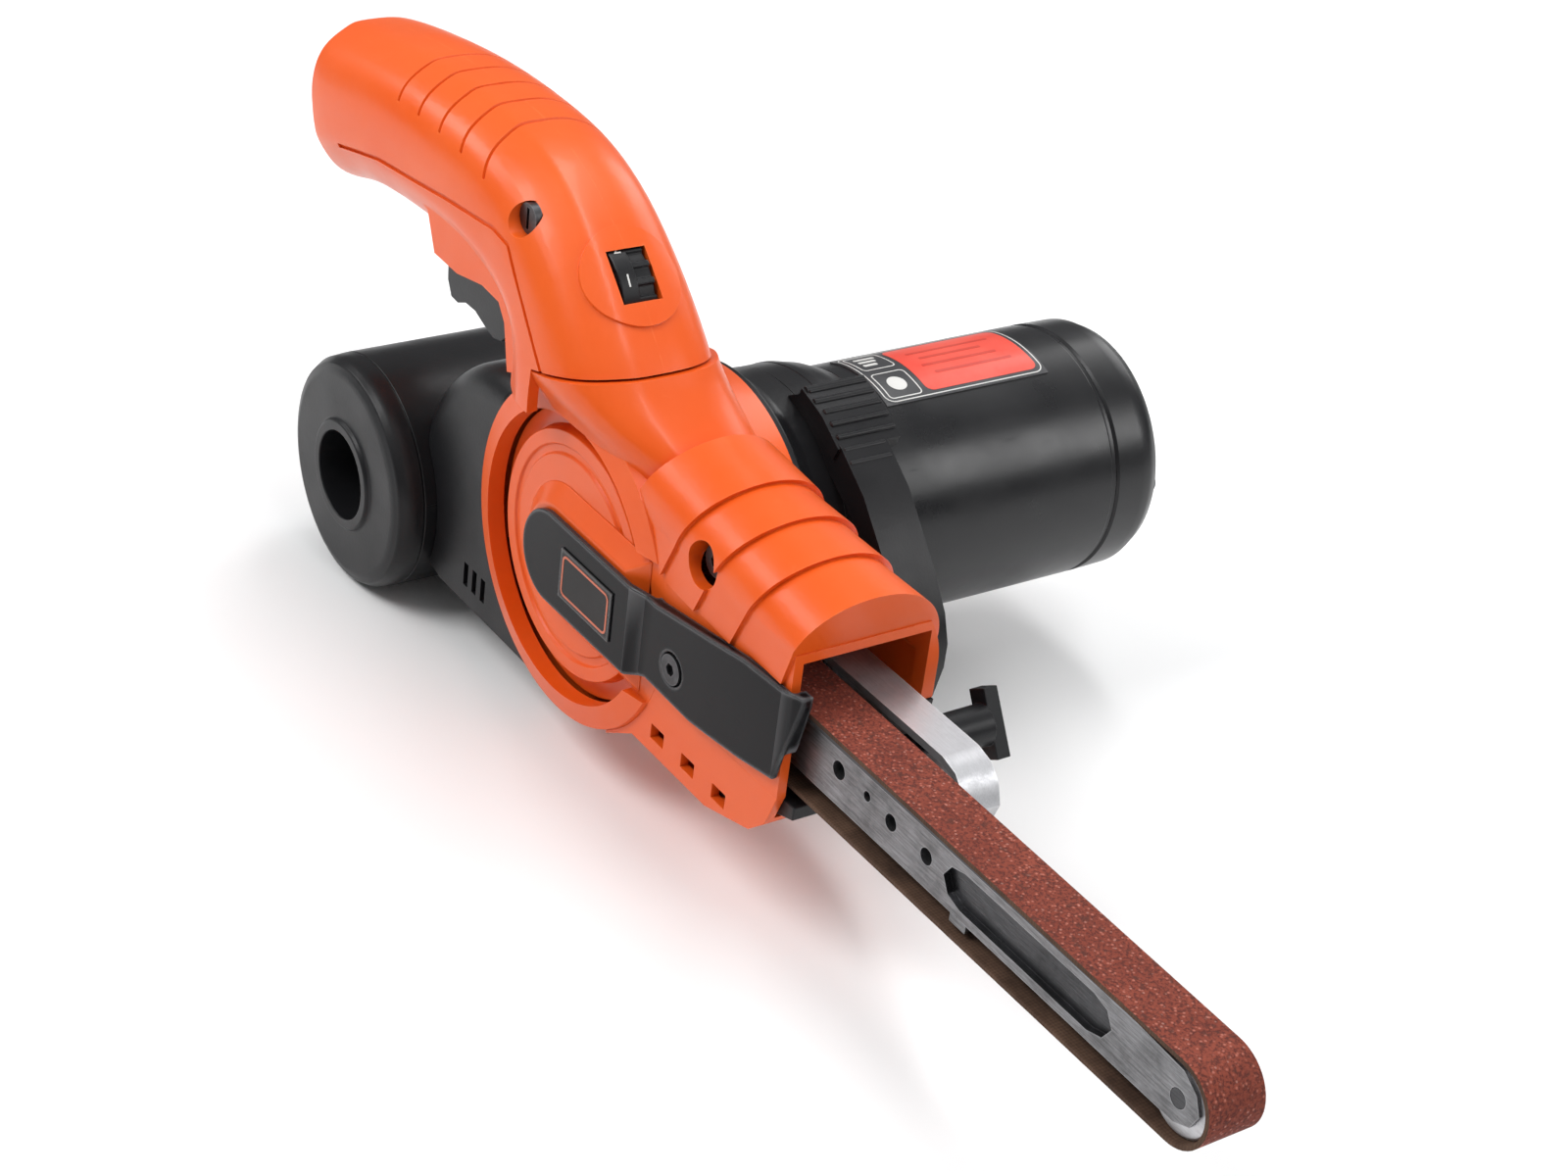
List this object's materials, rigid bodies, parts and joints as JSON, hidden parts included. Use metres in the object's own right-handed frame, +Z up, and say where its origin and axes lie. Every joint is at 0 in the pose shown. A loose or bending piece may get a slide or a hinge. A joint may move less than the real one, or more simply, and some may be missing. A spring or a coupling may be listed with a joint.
{
  "type": "handheld narrow-belt sander",
  "caption": "Handheld power file: side motor, drum housing with curved grip, ribbed nose cover, long arm with a narrow sanding belt, and a round dust canister behind.",
  "frame": {"origin": "centre of the footprint, at the level of the dust canister's lowest point", "axes": "+X forward along the belt arm, +Y along the motor shaft towards the motor's end cap, +Z up towards the handle"},
  "size_m": [0.3264, 0.1562, 0.1372],
  "materials": {
    "orange_plastic": "moulded orange housing plastic with a fine satin grain",
    "black_plastic": "black housing plastic with a fine grain",
    "gloss_black_plastic": "smooth shiny black trim",
    "badge_plastic": "plain raised plate with no mark",
    "label": "blank adhesive plate, dark at one end and red at the other",
    "black_rubber": "soft black rubber",
    "abrasive": "red-brown aluminium-oxide grit on a cloth belt",
    "stamped_steel": "dark oiled pressed steel",
    "bright_steel": "zinc-plated steel",
    "graphite": "graphite-coated canvas",
    "cast_aluminium": "die-cast aluminium",
    "lamination_steel": "stacked laminations",
    "copper": "enamelled copper wire",
    "brass": "brass",
    "carbon": "carbon brush",
    "screw_steel": "blackened steel",
    "filter_paper": "pleated filter paper"
  },
  "bodies": {
    "base": {"handle_left_shell": "orange_plastic", "handle_right_shell": "orange_plastic", "drum_housing": "orange_plastic", "disc_cover": "orange_plastic", "side_boss": "orange_plastic", "side_strip": "gloss_black_plastic", "badge_plate": "badge_plastic", "snout_cover": "orange_plastic", "lower_guard": "orange_plastic", "dust_scoop": "black_plastic", "right_side_cover": "black_plastic", "motor_collar": "black_plastic", "motor_barrel": "gloss_black_plastic", "motor_end_cap": "gloss_black_plastic", "rating_label": "label", "cord_gland": "black_rubber", "stator_core": "lamination_steel", "field_coils": "copper", "brush_holders": "brass", "carbon_brushes": "carbon", "front_bearing": "bright_steel", "rear_bearing": "bright_steel", "bearing_plate": "cast_aluminium", "rear_bearing_bracket": "black_plastic", "sanding_belt": "abrasive", "spring_rod": "bright_steel", "tension_spring": "bright_steel", "trigger_pin": "bright_steel", "switch_block": "black_plastic", "speed_control": "black_plastic", "dust_duct": "black_plastic", "strip_screw": "screw_steel", "snout_screw": "screw_steel", "handle_screw": "screw_steel", "end_cap_screws": "screw_steel"},
    "spindle": {"drive_pulley": "black_rubber", "rotor_shaft": "bright_steel", "rotor_core": "lamination_steel", "rotor_windings": "copper", "commutator": "copper", "cooling_fan": "black_plastic"},
    "carriage": {"arm_carriage": "cast_aluminium", "arm_pivot_pin": "bright_steel", "guide_bracket": "bright_steel", "release_link": "stamped_steel"},
    "arm": {"arm_plate": "stamped_steel", "platen": "graphite", "nose_axle": "bright_steel", "arm_hook": "stamped_steel"},
    "nose": {"nose_roller": "bright_steel"},
    "knob": {"tracking_knob": "black_plastic"},
    "lever": {"tension_lever": "black_plastic"},
    "trigger_lever": {"trigger": "black_plastic"},
    "thumb_wheel": {"speed_wheel": "black_plastic"},
    "canister": {"canister_body": "black_plastic"},
    "canister_lid": {"canister_cap": "black_plastic", "dust_filter": "filter_paper"}
  },
  "joints": [
    {"name": "spindle_spin", "type": "hinge", "parent": "base", "child": "spindle", "pos_m": [-0.0442, -0.057, 0.0527], "axis": [0, 1, 0], "continuous": true},
    {"name": "tension_lever_turn", "type": "hinge", "parent": "base", "child": "lever", "pos_m": [-0.0442, -0.013, 0.0527], "axis": [0, -1, 0], "range_deg": [0, 20]},
    {"name": "carriage_slide", "type": "slide", "parent": "base", "child": "carriage", "axis": [-1, 0, 0], "range_m": [0, 0.005], "deforming": ["tension_spring"]},
    {"name": "tracking_knob_turn", "type": "hinge", "parent": "carriage", "child": "knob", "pos_m": [0.0503, -0.037, 0.0557], "axis": [0, 1, 0], "range_deg": [-180, 180]},
    {"name": "arm_tracking", "type": "hinge", "parent": "carriage", "child": "arm", "pos_m": [-0.0082, -0.057, 0.0527], "axis": [0, 0, 1], "range_deg": [-0.4, 0.4]},
    {"name": "nose_roller_spin", "type": "hinge", "parent": "arm", "child": "nose", "pos_m": [0.1542, -0.057, 0.0527], "axis": [0, 1, 0], "continuous": true},
    {"name": "trigger_pull", "type": "hinge", "parent": "base", "child": "trigger_lever", "pos_m": [-0.0787, -0.057, 0.0995], "axis": [0, 1, 0], "range_deg": [0, 8], "stiffness_Nm_per_rad": 1.5, "springref_deg": -5.73},
    {"name": "speed_wheel_turn", "type": "hinge", "parent": "base", "child": "thumb_wheel", "pos_m": [-0.0544, -0.057, 0.1093], "axis": [0, 1, 0], "range_deg": [0, 270]},
    {"name": "canister_slide", "type": "slide", "parent": "base", "child": "canister", "axis": [-1, 0, 0], "range_m": [0, 0.014]},
    {"name": "canister_cap_turn", "type": "hinge", "parent": "canister", "child": "canister_lid", "pos_m": [-0.1332, -0.077, 0.0287], "axis": [0, 1, 0], "range_deg": [0, 40]}
  ],
  "couplings": [
    {"joint": "nose_roller_spin", "follows": "spindle_spin", "ratio": 1.1863},
    {"joint": "carriage_slide", "follows": "tension_lever_turn", "m_per_rad": 0.014323},
    {"joint": "arm_tracking", "follows": "tracking_knob_turn", "ratio": 0.002175}
  ]
}
